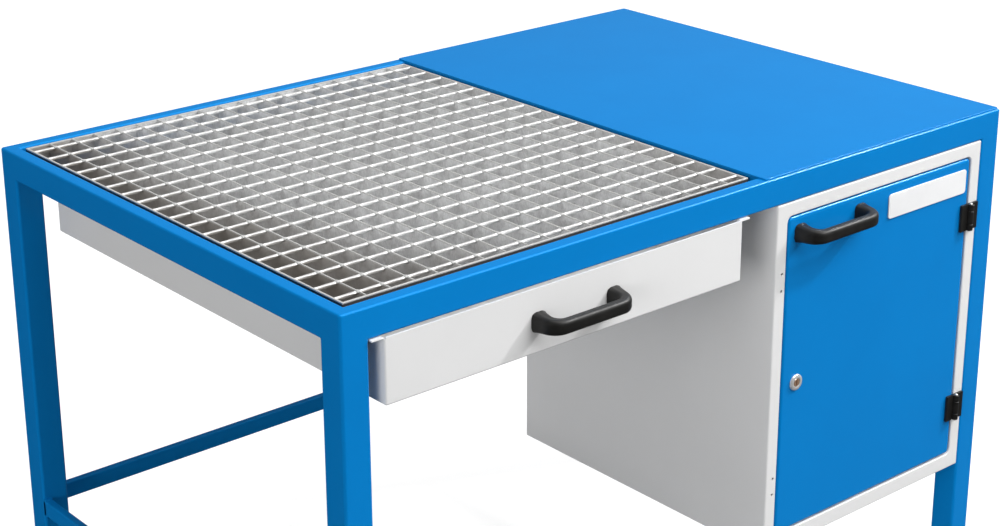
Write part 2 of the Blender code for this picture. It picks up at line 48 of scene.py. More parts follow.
# Materials: nodes on Object coordinates, so the grain keeps its real size on every piece
class Nodes:
    def __init__(self, name):
        self.material = bpy.data.materials.new(name)
        self.material.use_nodes = True
        self.tree = self.material.node_tree
        self.shader = self.tree.nodes["Principled BSDF"]
        self.place = self.tree.nodes.new("ShaderNodeTexCoord").outputs["Object"]

    def add(self, kind, inputs=(), **settings):
        node = self.tree.nodes.new(kind)
        for name, value in settings.items():
            setattr(node, name, value)
        for name, value in dict(inputs).items():
            self.feed(node.inputs[name], value)
        return node

    def feed(self, socket, value):
        if isinstance(value, bpy.types.NodeSocket):
            self.tree.links.new(value, socket)
        else:
            socket.default_value = value

    def noise(self, scale, detail=3, roughness=0.5, stretch=None):
        place = self.place
        if stretch:
            place = self.add("ShaderNodeMapping", {"Vector": place, "Scale": stretch}).outputs[0]
        values = {"Vector": place, "Scale": scale, "Detail": detail, "Roughness": roughness}
        return self.add("ShaderNodeTexNoise", values).outputs["Fac"]

    def cells(self, scale):
        return self.add("ShaderNodeTexVoronoi", {"Vector": self.place, "Scale": scale}).outputs["Color"]

    def distance(self, centre, stretch):
        place = self.add("ShaderNodeVectorMath", {0: self.place, 1: stretch}, operation="MULTIPLY")
        ends = {0: place.outputs["Vector"], 1: centre * stretch}
        return self.add("ShaderNodeVectorMath", ends, operation="DISTANCE").outputs["Value"]

    def height(self):
        return self.add("ShaderNodeSeparateXYZ", {"Vector": self.place}).outputs["Z"]

    def sum(self, source, share, rest):
        return self.add("ShaderNodeMath", {0: source, 1: share, 2: rest}, operation="MULTIPLY_ADD").outputs[0]

    def between(self, source, low, high, start=0.3, end=0.7):
        values = {"Value": source, "From Min": start, "From Max": end, "To Min": low, "To Max": high}
        return self.add("ShaderNodeMapRange", values).outputs["Result"]

    def tint(self, source, first, second):
        node = self.add("ShaderNodeMix", data_type="RGBA")
        self.feed(node.inputs[0], source)
        for socket, colour in ((node.inputs[6], first), (node.inputs[7], second)):
            self.feed(socket, colour if isinstance(colour, bpy.types.NodeSocket) else (*colour, 1))
        return node.outputs[2]

    def bump(self, height, distance, strength=1.0, before=None):
        values = {"Height": height, "Distance": distance, "Strength": strength}
        if before:
            values["Normal"] = before
        return self.add("ShaderNodeBump", values).outputs["Normal"]

    def finish(self, **values):
        for name, value in values.items():
            self.feed(self.shader.inputs[name.replace("_", " ")], value)
        return self.material


# Powder coat: a fine orange peel under a soft gloss, with a little dust in the colour
powderCoat = {
    "bluePaint": {
        "colour": (0.002, 0.188, 0.525),
        "shade": (0.002, 0.179, 0.505),
        "roughness": (0.13, 0.19),
        "shine": 0.3,
        "shineTint": (0.12, 0.55, 1),
    },
    "greyPaint": {
        "colour": (0.69, 0.69, 0.69),
        "shade": (0.67, 0.67, 0.67),
        "roughness": (0.36, 0.46),
        "shine": 0.2,
        "shineTint": (1, 1, 1),
    },
    "dust": (7, 4, 0.6),
    "polish": (38, 5, 0.65),
    "peel": (620, 2),
    "peelBump": (0.00012, 0.12),
    "wave": (9, 1),
    "waveBump": (0.001, 0.05),
}


def makePowderCoat(name):
    look = powderCoat[name]
    nodes = Nodes(name)
    colour = nodes.tint(nodes.between(nodes.noise(*powderCoat["dust"]), 0, 1), look["colour"], look["shade"])
    gloss = nodes.between(nodes.noise(*powderCoat["polish"]), *look["roughness"])
    wave = nodes.bump(nodes.noise(*powderCoat["wave"]), *powderCoat["waveBump"])
    peel = nodes.bump(nodes.noise(*powderCoat["peel"]), *powderCoat["peelBump"], wave)
    return nodes.finish(Base_Color=colour, Roughness=gloss, Normal=peel, Specular_IOR_Level=look["shine"],
                        Specular_Tint=(*look["shineTint"], 1))


# Hot-dip zinc: worn bright on top, mottled on the walls, painted darker and browner towards the sides round a
# painted bright centre, painted shade in the gap all round
zincCoat = {
    "worn": (0.54, 0.54, 0.53),
    "bright": (0.86, 0.865, 0.87),
    "dull": (0.46, 0.46, 0.46),
    # painted falloff: darker, browner wall tone towards the sides
    "paintedFalloffTone": (0.33, 0.305, 0.28),
    # painted shade, near black, for the band's outer faces in the gap
    "paintedGapShade": (0.06, 0.058, 0.055),
    # centre of the painted pool of light on the walls
    "paintedLightCentre": (0.06, 0.08, 0),
    "reach": (0.35, 0.64),
    "clearShare": (0.76, 1.14),
    "gapShare": (0.9965, 0.9985),
    "wearLevel": (0.8474, 0.8482),
    "wearEdge": (300, 2),
    "wearSpread": 0.001,
    "patch": (34, 6, 0.72),
    "patchRange": (-0.1, 0.7),
    "streak": (700, 4, 0.7, (1, 1, 0.3)),
    "streakShare": 1.3,
    "mottleShift": -0.6,
    "crystalScale": 190,
    "crystalShare": 0.3,
    "falloffNoise": (11, 5, 0.7),
    "falloffSpread": 0.5,
    "roughness": (0.3, 0.55),
    "metal": 0.3,
    "run": (150, 3, 0.6),
    "runBump": (0.0006, 0.35),
    "grain": (1400, 2),
    "grainBump": (0.0001, 0.25),
}


def makeZincCoat(name):
    nodes = Nodes(name)
    lo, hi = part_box("grating")
    middle = (lo + hi) / 2
    patch = nodes.between(nodes.noise(*zincCoat["patch"]), *zincCoat["patchRange"])
    crystals = nodes.sum(nodes.cells(zincCoat["crystalScale"]), zincCoat["crystalShare"], patch)
    shifted = nodes.sum(crystals, 1, zincCoat["mottleShift"])
    mottled = nodes.sum(nodes.noise(*zincCoat["streak"]), zincCoat["streakShare"], shifted)
    wall = nodes.tint(mottled, zincCoat["bright"], zincCoat["dull"])
    oval = Vector((1 / zincCoat["reach"][0], 1 / zincCoat["reach"][1], 0))
    # Painted falloff of light: walls go darker and browner away from a painted bright place near the middle
    away = nodes.distance(middle + Vector(zincCoat["paintedLightCentre"]), oval)
    spread = zincCoat["falloffSpread"]
    reach = nodes.sum(nodes.noise(*zincCoat["falloffNoise"]), spread, nodes.sum(away, 1, -spread / 2))
    wall = nodes.tint(nodes.between(reach, 0, 1, *zincCoat["clearShare"]), wall, zincCoat["paintedFalloffTone"])
    # Painted shade: the band's outer faces, down in the gap round the grating, turn near black
    wide = nodes.distance(middle, Vector((2 / (hi.x - lo.x), 0, 0)))
    deep = nodes.distance(middle, Vector((0, 2 / (hi.y - lo.y), 0)))
    outside = nodes.add("ShaderNodeMath", {0: wide, 1: deep}, operation="MAXIMUM").outputs["Value"]
    wall = nodes.tint(nodes.between(outside, 0, 1, *zincCoat["gapShare"]), wall, zincCoat["paintedGapShade"])
    level = nodes.sum(nodes.noise(*zincCoat["wearEdge"]), zincCoat["wearSpread"], nodes.height())
    colour = nodes.tint(nodes.between(level, 0, 1, *zincCoat["wearLevel"]), wall, zincCoat["worn"])
    gloss = nodes.between(mottled, *zincCoat["roughness"], 0, 1)
    runs = nodes.bump(nodes.noise(*zincCoat["run"]), *zincCoat["runBump"])
    grain = nodes.bump(nodes.noise(*zincCoat["grain"]), *zincCoat["grainBump"], runs)
    return nodes.finish(Base_Color=colour, Metallic=zincCoat["metal"], Roughness=gloss, Normal=grain)


# Moulded nylon: fine spark-eroded grain
nylon = {
    "colour": (0.008, 0.0078, 0.0075),
    "worn": (0.014, 0.0135, 0.0125),
    "roughness": (0.36, 0.48),
    "shine": 0.3,
    "wear": (60, 4),
    "polish": (90, 3),
    "spark": (1500, 2),
    "sparkBump": (0.0001, 0.3),
}


def makeNylon(name):
    nodes = Nodes(name)
    colour = nodes.tint(nodes.between(nodes.noise(*nylon["wear"]), 0, 1), nylon["colour"], nylon["worn"])
    gloss = nodes.between(nodes.noise(*nylon["polish"]), *nylon["roughness"])
    normal = nodes.bump(nodes.noise(*nylon["spark"]), *nylon["sparkBump"])
    return nodes.finish(Base_Color=colour, Roughness=gloss, Normal=normal, Specular_IOR_Level=nylon["shine"])


# Plated metals: chrome on the lock, bright zinc on the screws, pins and cam
plated = {
    "chrome": {
        "colour": (0.88, 0.88, 0.87),
        "shade": (0.8, 0.8, 0.79),
        "roughness": (0.08, 0.18),
        "metal": 0.6,
    },
    "zincSteel": {
        "colour": (0.68, 0.68, 0.65),
        "shade": (0.54, 0.54, 0.51),
        "roughness": (0.24, 0.4),
        "metal": 0.8,
    },
    "cloud": (160, 4, 0.6),
    "polish": (420, 4, 0.7),
    "brushing": (900, 2),
    "brushingBump": (0.00005, 0.2),
    "keyTone": (0.48, 0.3, 0.2),
    "keyReach": (0.0052, 0.0064),
}


def makePlated(name):
    look = plated[name]
    nodes = Nodes(name)
    colour = nodes.tint(nodes.between(nodes.noise(*plated["cloud"]), 0, 1), look["colour"], look["shade"])
    if name == "chrome":  # handled brass round the keyway
        lo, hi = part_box("lock_plug")
        reach = nodes.distance((lo + hi) / 2, Vector((1, 0, 1)))
        colour = nodes.tint(nodes.between(reach, 1, 0, *plated["keyReach"]), colour, plated["keyTone"])
    gloss = nodes.between(nodes.noise(*plated["polish"]), *look["roughness"])
    normal = nodes.bump(nodes.noise(*plated["brushing"]), *plated["brushingBump"])
    return nodes.finish(Base_Color=colour, Metallic=look["metal"], Roughness=gloss, Normal=normal)


# Bare plate: clear film over white
film = {
    "colour": (0.8, 0.805, 0.81),
    "shade": (0.76, 0.765, 0.775),
    "roughness": (0.18, 0.27),
    "cloud": (22, 4),
    "polish": (70, 3),
    "ripple": (55, 1),
    "rippleBump": (0.0004, 0.06),
    "coat": 0.4,
    "coatRoughness": 0.08,
}


def makeFilm(name):
    nodes = Nodes(name)
    colour = nodes.tint(nodes.between(nodes.noise(*film["cloud"]), 0, 1), film["colour"], film["shade"])
    gloss = nodes.between(nodes.noise(*film["polish"]), *film["roughness"])
    normal = nodes.bump(nodes.noise(*film["ripple"]), *film["rippleBump"])
    return nodes.finish(Base_Color=colour, Roughness=gloss, Normal=normal, Coat_Weight=film["coat"],
                        Coat_Roughness=film["coatRoughness"])


bluePaint = makePowderCoat("bluePaint")
greyPaint = makePowderCoat("greyPaint")
galvanised = makeZincCoat("galvanised")
blackPlastic = makeNylon("blackPlastic")
chrome = makePlated("chrome")
zincSteel = makePlated("zincSteel")
whitePlate = makeFilm("whitePlate")


# Shared modelling steps
tolerance = {"same": 1e-6, "near": 1e-5, "parallel": 0.999}


def addBox(mesh, lo, hi):
    made = bmesh.ops.create_cube(mesh, size=1)["verts"]
    bmesh.ops.scale(mesh, vec=hi - lo, verts=made)
    bmesh.ops.translate(mesh, vec=(lo + hi) / 2, verts=made)


def newBox(lo, hi):
    mesh = bmesh.new()
    addBox(mesh, lo, hi)
    return mesh


def runsAlong(edge, direction):
    span = edge.verts[1].co - edge.verts[0].co
    return span.length > 0 and abs(span.normalized().dot(direction)) > tolerance["parallel"]


def edgesWhere(mesh, test):
    return [edge for edge in mesh.edges if test(edge)]


def edgesAlong(mesh, direction):
    return edgesWhere(mesh, lambda edge: runsAlong(edge, direction))


def atLevel(mesh, axis, level):
    near = tolerance["same"]
    return edgesWhere(mesh, lambda edge: all(abs(vert.co[axis] - level) < near for vert in edge.verts))


def facing(mesh, direction):
    mesh.normal_update()
    return [face for face in mesh.faces if face.normal.dot(direction) > tolerance["parallel"]]


def vertsIn(geometry):
    return [item for item in geometry if isinstance(item, bmesh.types.BMVert)]


# An open sheet with its outer side where it faces down
def faceOutward(mesh):
    bmesh.ops.recalc_face_normals(mesh, faces=mesh.faces)
    if not facing(mesh, -up):
        bmesh.ops.reverse_faces(mesh, faces=mesh.faces)


def extruded(mesh, face):
    return bmesh.ops.extrude_discrete_faces(mesh, faces=[face])["faces"][0]


def stretchFace(mesh, face, wide, high):
    centre = face.calc_center_median()
    bmesh.ops.scale(mesh, vec=(wide, 1, high), space=Matrix.Translation(-centre), verts=face.verts)


def rounded(mesh, edges, radius, segments=3):
    bmesh.ops.bevel(mesh, geom=edges, offset=radius, offset_type="OFFSET", affect="EDGES",
                    segments=segments, profile=0.5, material=-1, clamp_overlap=True)


def loose(mesh):
    data = bpy.data.meshes.new("loose")
    mesh.to_mesh(data)
    mesh.free()
    thing = bpy.data.objects.new("loose", data)
    bpy.context.collection.objects.link(thing)
    return thing


# The mesh as it comes out of one modifier; a mesh given among the settings is used up
def modified(mesh, kind, **settings):
    work = loose(mesh)
    helpers = [work]
    modifier = work.modifiers.new(kind, kind)
    for name, value in settings.items():
        if isinstance(value, bmesh.types.BMesh):
            value = loose(value)
            helpers.append(value)
        setattr(modifier, name, value)
    result = bmesh.new()
    result.from_object(work, bpy.context.evaluated_depsgraph_get())
    for helper in helpers:
        bpy.data.meshes.remove(helper.data)
    return result


def cut(mesh, tool, operation="DIFFERENCE"):
    result = modified(mesh, "BOOLEAN", operation=operation, solver="EXACT", object=tool)
    bmesh.ops.remove_doubles(result, verts=result.verts, dist=tolerance["same"])
    return result


def thickened(mesh, sheet):
    return modified(mesh, "SOLIDIFY", thickness=sheet, offset=-1, use_even_offset=True,
                    use_quality_normals=True)


def merged(*meshes):
    whole = bmesh.new()
    for mesh in meshes:
        data = bpy.data.meshes.new("part")
        mesh.to_mesh(data)
        mesh.free()
        whole.from_mesh(data)
        bpy.data.meshes.remove(data)
    return whole


def repeated(mesh, moves):
    data = bpy.data.meshes.new("pattern")
    mesh.to_mesh(data)
    mesh.free()
    whole = bmesh.new()
    for move in moves:
        data.transform(move)
        whole.from_mesh(data)
        data.transform(move.inverted())
    bpy.data.meshes.remove(data)
    return whole


# A profile of (radius, height) points spun round the axis; heights run along it
def turned(profile, centre, axis, steps):
    mesh = bmesh.new()
    across = axis.orthogonal().normalized()
    points = [mesh.verts.new(centre + across * radius + axis * height) for radius, height in profile]
    for first, second in zip(points, points[1:]):
        mesh.edges.new((first, second))
    bmesh.ops.spin(mesh, geom=mesh.verts[:] + mesh.edges[:], cent=centre, axis=axis,
                   angle=math.radians(360), steps=steps, use_merge=True)
    bmesh.ops.remove_doubles(mesh, verts=mesh.verts, dist=tolerance["same"])
    bmesh.ops.recalc_face_normals(mesh, faces=mesh.faces)
    return mesh


def drilled(mesh, place, axis, radius, low, high, steps):
    profile = ((0, low), (radius, low), (radius, high), (0, high))
    return cut(mesh, turned(profile, place, axis, steps))


def addPiece(name, mesh, material, body, nodes, sharp=40, subdivisions=0):
    data = bpy.data.meshes.new(name)
    mesh.to_mesh(data)
    mesh.free()
    data.materials.append(material)
    data.shade_smooth()
    data.set_sharp_from_angle(angle=math.radians(sharp))
    piece = bpy.data.objects.new(name, data)
    bpy.context.collection.objects.link(piece)
    if subdivisions:
        modifier = piece.modifiers.new("smooth", "SUBSURF")
        modifier.levels = modifier.render_levels = subdivisions
    else:
        modifier = piece.modifiers.new("evenNormals", "WEIGHTED_NORMAL")
        modifier.keep_sharp = True
    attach(piece, body)
    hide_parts(*nodes)


# Camera, fitted to the photograph
camera = {
    "place": (-1.7886, -2.0532, 1.7102),
    "azimuth": 40.322,
    "elevation": 19.156,
    "roll": -0.207,
    "focalPixels": 2005.35,
    "imageWidth": 1000,
    "shiftPixels": -75,
    "sensor": 36,
    "clip": (0.05, 50),
}


def addCamera():
    data = bpy.data.cameras.new("camera")
    data.sensor_width = camera["sensor"]
    data.lens = camera["focalPixels"] * camera["sensor"] / camera["imageWidth"]
    data.shift_y = camera["shiftPixels"] / camera["imageWidth"]
    data.clip_start, data.clip_end = camera["clip"]
    eye = bpy.data.objects.new("camera", data)
    bpy.context.collection.objects.link(eye)
    heading = Matrix.Rotation(math.radians(-camera["azimuth"]), 4, "Z")
    tilt = Matrix.Rotation(math.radians(90 - camera["elevation"]), 4, "X")
    roll = Matrix.Rotation(math.radians(camera["roll"]), 4, "Z")
    eye.matrix_world = Matrix.Translation(camera["place"]) @ heading @ tilt @ roll
    bpy.context.scene.camera = eye


# White studio: a wide sun overhead, a low one from the left, a small one that draws the edge lines, soft
# lamps, and a dim sky that brightens above the horizon and to the right
studio = {
    "sky": {"X": (0.35, 0.75, 0, 0.1), "Z": (-0.03, 0.03, 0.01, 0.065)},  # start, end, strength at each
    "suns": {
        "overhead": {"from": (0.3, -0.38, 1), "spread": 75, "strength": 2.75, "mirrored": True},
        "leftward": {"from": (-1, -0.3, 0.1), "spread": 35, "strength": 2.15, "mirrored": False},
        "glint": {"from": (0.73, -0.31, 0.61), "spread": 4, "strength": 1.9, "mirrored": True},
    },
    "lamps": {
        "keyLight": {"place": (1.9, -0.6, 2.2), "aim": (0.5, -0.1, 0.8), "size": 1.4, "power": 20},
        "frontLight": {"place": (0.9, -2.2, 2.4), "aim": (0.1, -0.3, 0.7), "size": 1.6, "power": 31.5},
        "backLight": {"place": (-0.2, 3.4, 0.9), "aim": (0, 0, 0.6), "size": 1.6, "power": 10},
    },
    "floorSize": 40,
    "floorColour": (0.2, 0.2, 0.2),
    "floorShade": 0.98,
    "floorCloud": (2, 3),
    "floorGrain": (60, 3),
    "floorBump": (0.0005, 0.1),
    "floorRoughness": 0.8,
    "floorGlow": 0.85,
}


def addSky():
    world = bpy.data.worlds.new("studio")
    bpy.context.scene.world = world
    world.use_nodes = True
    tree = world.node_tree
    sky = tree.nodes["Background"]
    sky.inputs["Color"].default_value = (1, 1, 1, 1)
    way = tree.nodes.new("ShaderNodeSeparateXYZ")
    tree.links.new(tree.nodes.new("ShaderNodeTexCoord").outputs["Generated"], way.inputs[0])
    total = tree.nodes.new("ShaderNodeMath")
    tree.links.new(total.outputs[0], sky.inputs["Strength"])
    for socket, (axis, values) in zip(total.inputs, studio["sky"].items()):
        ramp = tree.nodes.new("ShaderNodeMapRange")
        tree.links.new(way.outputs[axis], ramp.inputs["Value"])
        tree.links.new(ramp.outputs[0], socket)
        for name, value in zip(("From Min", "From Max", "To Min", "To Max"), values):
            ramp.inputs[name].default_value = value
    backdrop = tree.nodes.new("ShaderNodeBackground")
    backdrop.inputs["Color"].default_value = (1, 1, 1, 1)
    seen = tree.nodes.new("ShaderNodeLightPath")
    mix = tree.nodes.new("ShaderNodeMixShader")
    tree.links.new(seen.outputs["Is Camera Ray"], mix.inputs[0])
    tree.links.new(sky.outputs[0], mix.inputs[1])
    tree.links.new(backdrop.outputs[0], mix.inputs[2])
    tree.links.new(mix.outputs[0], tree.nodes["World Output"].inputs["Surface"])


def addLight(name, kind, strength, heading):
    data = bpy.data.lights.new(name, kind)
    data.energy = strength
    light = bpy.data.objects.new(name, data)
    bpy.context.collection.objects.link(light)
    light.rotation_euler = heading.to_track_quat("-Z", "Y").to_euler()
    return light


def addFloor():
    mesh = bmesh.new()
    bmesh.ops.create_grid(mesh, x_segments=1, y_segments=1, size=studio["floorSize"] / 2)
    data = bpy.data.meshes.new("floor")
    mesh.to_mesh(data)
    mesh.free()
    nodes = Nodes("paleFloor")
    grain = nodes.bump(nodes.noise(*studio["floorGrain"]), *studio["floorBump"])
    shade = [studio["floorShade"] * value for value in studio["floorColour"]]
    colour = nodes.tint(nodes.noise(*studio["floorCloud"]), studio["floorColour"], shade)
    seen = nodes.add("ShaderNodeLightPath").outputs["Is Camera Ray"]
    glow = nodes.between(seen, 0, studio["floorGlow"], 0, 1)
    data.materials.append(nodes.finish(Base_Color=colour, Roughness=studio["floorRoughness"], Normal=grain,
                                       Emission_Color=(1, 1, 1, 1), Emission_Strength=glow))
    floor = bpy.data.objects.new("floor", data)
    bpy.context.collection.objects.link(floor)
    floor.visible_glossy = False


def addStudio():
    bpy.context.scene.view_settings.view_transform = "Standard"
    addSky()
    for name, look in studio["suns"].items():
        sun = addLight(name, "SUN", look["strength"], -Vector(look["from"]))
        sun.data.angle = math.radians(look["spread"])
        sun.visible_glossy = look["mirrored"]
    for name, look in studio["lamps"].items():
        lamp = addLight(name, "AREA", look["power"], Vector(look["aim"]) - Vector(look["place"]))
        lamp.data.size = look["size"]
        lamp.location = look["place"]
    addFloor()


addCamera()
addStudio()
print("camera and studio made")

# Welded frame: top ring, cross rail and legs in one skin, lower rails and ledges welded on
welded = {
    "legCorner": 0.004,
    "railCorner": 0.003,
    "footCorner": 0.0012,
    "ledgeCorner": 0.0006,
    "weld": 0.0035,
    "flat": 0.5,  # edges that bend less, in radians, stay as they are
    "joined": 0.5,  # degrees below which neighbouring faces become one
    "cutRoom": 0.01,
    "segments": 4,
    "lowerCorner": 0.002,
    "lowerInset": 0.0004,
    "lowerBite": 0.006,
    "beadLength": 0.0035,
    "beadProud": 0.0014,
    "beadEdge": 0.00126,
}


def addFrame():
    front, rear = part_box("top_rail_front"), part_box("top_rail_back")
    left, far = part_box("top_rail_left"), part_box("top_rail_right")
    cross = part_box("cross_rail")
    low, high = left[0].z, left[1].z
    ring = newBox(Vector((left[0].x, front[0].y, low)), Vector((far[1].x, rear[1].y, high)))
    bays = ((left[1].x, cross[0].x), (cross[1].x, far[0].x))
    room = up * welded["cutRoom"]
    for start, end in bays:
        bay = newBox(Vector((start, front[1].y, low)) - room, Vector((end, rear[0].y, high)) + room)
        ring = cut(ring, bay)
    legs = [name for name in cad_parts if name.startswith("leg_")]
    for name in legs:
        lo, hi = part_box(name)
        ring = cut(ring, newBox(lo, Vector((hi.x, hi.y, low))), "UNION")
    angle = math.radians(welded["joined"])
    bmesh.ops.dissolve_limit(ring, angle_limit=angle, verts=ring.verts, edges=ring.edges)
    ring.normal_update()
    weight = ring.edges.layers.float.new("bevel_weight_edge")
    for edge in ring.edges:
        bend = edge.calc_face_angle_signed(0)
        if abs(bend) < welded["flat"]:
            continue
        radius = welded["legCorner"] if runsAlong(edge, up) else welded["railCorner"]
        if bend < 0:
            radius = welded["weld"]
        elif max(vert.co.z for vert in edge.verts) < welded["footCorner"]:
            radius = welded["footCorner"]
        edge[weight] = radius / welded["legCorner"]
    ring = modified(ring, "BEVEL", width=welded["legCorner"], segments=welded["segments"],
                    limit_method="WEIGHT", use_clamp_overlap=False)
    for vert in ring.verts:
        vert.co.y = min(max(vert.co.y, front[0].y), rear[1].y)
    ledges = bmesh.new()
    for side in ("front", "back"):
        addBox(ledges, *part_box(f"grating_ledge_{side}"))
    rounded(ledges, ledges.edges[:], welded["ledgeCorner"], segments=2)
    nodes = [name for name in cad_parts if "rail" in name or "ledge" in name] + legs
    addPiece("welded_frame", merged(ring, lowerRails(), ledges), bluePaint, "table", nodes)


# Flat tubes that end inside the legs, with a weld bead round each end
def lowerRails():
    bead, proud = welded["beadLength"], welded["beadProud"]
    rails, beads = bmesh.new(), bmesh.new()
    for side in ("left", "right", "back"):
        lo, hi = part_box(f"lower_rail_{side}")
        length, thin, axis = (right, back, 0) if side == "back" else (back, right, 1)
        outward = -thin if side == "left" else thin
        start, end = lo - outward * welded["lowerInset"], hi - outward * welded["lowerInset"]
        bite = length * welded["lowerBite"]
        addBox(rails, start - bite, end + bite)
        inward = -outward * proud
        for seat in (start, end):
            low = start - up * proud + Vector([min(0, value) for value in inward])
            high = end + up * proud + Vector([max(0, value) for value in inward])
            low[axis], high[axis] = seat[axis] - bead, seat[axis] + bead
            addBox(beads, low, high)
    rounded(rails, rails.edges[:], welded["lowerCorner"])
    rounded(beads, beads.edges[:], welded["beadEdge"])
    return merged(rails, beads)


addFrame()
print("frame welded")

# Sheet top beside the grating
coverSheet = {"corner": 0.004, "edge": 0.0006}


def addCoverSheet():
    lo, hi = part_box("side_top")
    mesh = newBox(Vector((lo.x, lo.y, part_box("top_rail_left")[1].z)), hi)
    rounded(mesh, edgesAlong(mesh, up), coverSheet["corner"], segments=4)
    rounded(mesh, atLevel(mesh, 2, hi.z), coverSheet["edge"])
    addPiece("cover_sheet", mesh, bluePaint, "table", ["side_top"])


addCoverSheet()

# Grating: flat bars front to back, twisted rods pressed into them, a band all round
grate = {
    "bar": 0.002,
    "band": 0.003,
    "rod": 0.0047,
    "rodCorner": 0.0009,
    "barPitch": 0.035,
    "rodPitch": 0.0395,
    "edge": 0.0003,
    "turnPerCell": 90,  # degrees of twist between two bars
    "stepsPerCell": 6,
    "nub": (0.0036, 0.0046, 0.002),
    "nubDrop": 0.0012,
    "topDrop": 0.0005,
    "rodSink": 0.62,
    "rodRadius": 0.66,  # share of the side, so that the rounded corners keep the rod's size
}


def addGrating():
    lo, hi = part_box("grating")
    width, depth = hi.x - lo.x, hi.y - lo.y
    top = hi.z - grate["topDrop"]
    middle = (lo + hi) / 2
    band = bmesh.new()
    bmesh.ops.create_grid(band, x_segments=1, y_segments=1, size=0.5)
    bmesh.ops.scale(band, vec=(width, depth, 1), verts=band.verts)
    bmesh.ops.inset_region(band, faces=band.faces[:], thickness=grate["band"], use_boundary=True,
                           use_even_offset=True)
    inner = min(band.faces, key=lambda face: face.calc_center_median().length)
    bmesh.ops.delete(band, geom=[inner], context="FACES_ONLY")
    made = bmesh.ops.extrude_face_region(band, geom=band.faces[:])["geom"]
    bmesh.ops.translate(band, vec=up * (top - lo.z), verts=vertsIn(made))
    bmesh.ops.translate(band, vec=Vector((middle.x, middle.y, lo.z)), verts=band.verts)
    bmesh.ops.recalc_face_normals(band, faces=band.faces)
    rounded(band, band.edges[:], grate["edge"], segments=2)
    bars = bmesh.new()
    across = round((width - grate["bar"]) / grate["barPitch"])
    cell = (width - grate["bar"]) / across
    barPlaces = [middle.x + (bar - across / 2) * cell for bar in range(1, across)]
    half = right * grate["bar"] / 2
    for x in barPlaces:
        start = Vector((x, lo.y + grate["band"] / 2, lo.z)) - half
        addBox(bars, start, Vector((x, hi.y - grate["band"] / 2, top)) + half)
    rounded(bars, bars.edges[:], grate["edge"], segments=2)
    deep = round(depth / grate["rodPitch"])
    pitch = depth / deep
    rodPlaces = [middle.y + (rod + 0.5 - deep / 2) * pitch for rod in range(deep)]
    rodLevel = hi.z - grate["rod"] * grate["rodSink"]
    starts = [Vector((lo.x + grate["bar"] / 2, y, rodLevel)) for y in rodPlaces]
    rods = repeated(newRod(cell, across), [Matrix.Translation(start) for start in starts])
    nub = bmesh.new()
    bmesh.ops.create_icosphere(nub, subdivisions=2, radius=1)
    bmesh.ops.scale(nub, vec=grate["nub"], verts=nub.verts)
    crossings = [Vector((x, y, top - grate["nubDrop"])) for x in barPlaces for y in rodPlaces]
    nubs = repeated(nub, [Matrix.Translation(place) for place in crossings])
    addPiece("welded_grating", merged(band, bars, rods, nubs), galvanised, "grating", ["grating"], sharp=50)


# A square section spun forward along its own axis, so that its corners wind round it
def newRod(cell, cells):
    steps = cells * grate["stepsPerCell"]
    mesh = bmesh.new()
    bmesh.ops.create_circle(mesh, segments=4, radius=grate["rod"] * grate["rodRadius"], cap_ends=True)
    bmesh.ops.bevel(mesh, geom=mesh.verts[:], offset=grate["rodCorner"], offset_type="OFFSET",
                    affect="VERTICES", segments=1, profile=0.5, material=-1)
    quarter = Matrix.Rotation(math.radians(90), 3, "Y")
    bmesh.ops.rotate(mesh, cent=(0, 0, 0), matrix=quarter, verts=mesh.verts)
    bmesh.ops.spin(mesh, geom=mesh.verts[:] + mesh.edges[:] + mesh.faces[:], cent=(0, 0, 0), axis=right,
                   dvec=right * cell * cells / steps, angle=math.radians(grate["turnPerCell"]) * cells,
                   steps=steps, use_merge=False)
    bmesh.ops.recalc_face_normals(mesh, faces=mesh.faces)
    return mesh


addGrating()
print("grating made")

# Drawer: folded tray with flanges that hang on the runners
tray = {
    "sheet": 0.002,
    "bend": 0.0025,
    "bendSteps": 4,
    "fold": 0.0016,
    "shortest": 0.1,  # shorter edges of the rim belong to a corner
}


def addDrawer():
    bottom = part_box("drawer_bottom")
    front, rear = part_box("drawer_front"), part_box("drawer_back")
    left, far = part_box("drawer_side_left"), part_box("drawer_side_right")
    rim = front[1].z - tray["sheet"]
    lo = Vector((front[0].x, front[0].y, bottom[0].z))
    hi = Vector((front[1].x, rear[1].y, rim))
    mesh = newBox(lo, hi)
    bmesh.ops.delete(mesh, geom=facing(mesh, up), context="FACES_ONLY")
    folds = edgesWhere(mesh, lambda edge: any(vert.co.z < rim - tolerance["near"] for vert in edge.verts))
    rounded(mesh, folds, tray["bend"], tray["bendSteps"])
    rimEdges = edgesWhere(mesh, lambda edge: edge.is_boundary and edge.calc_length() > tray["shortest"]
                          and (runsAlong(edge, back) or runsAlong(edge, right)))
    for edge in rimEdges:
        isSide = runsAlong(edge, back)
        isLeft = edge.verts[0].co.x < (lo.x + hi.x) / 2
        outward = left[0].x - lo.x if isLeft else far[1].x - hi.x
        made = bmesh.ops.extrude_edge_only(mesh, edges=[edge])["geom"]
        step = right * outward if isSide else up * tray["sheet"]
        bmesh.ops.translate(mesh, vec=step, verts=vertsIn(made))
        if isSide:
            rounded(mesh, [edge], tray["fold"])
    faceOutward(mesh)
    mesh = thickened(mesh, tray["sheet"])
    nodes = [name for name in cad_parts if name.startswith("drawer_") and "handle" not in name]
    addPiece("drawer_tray", mesh, greyPaint, "drawer", nodes)


addDrawer()

# Runners: bent angles on the rails
runner = {"sheet": 0.002, "bend": 0.0022}


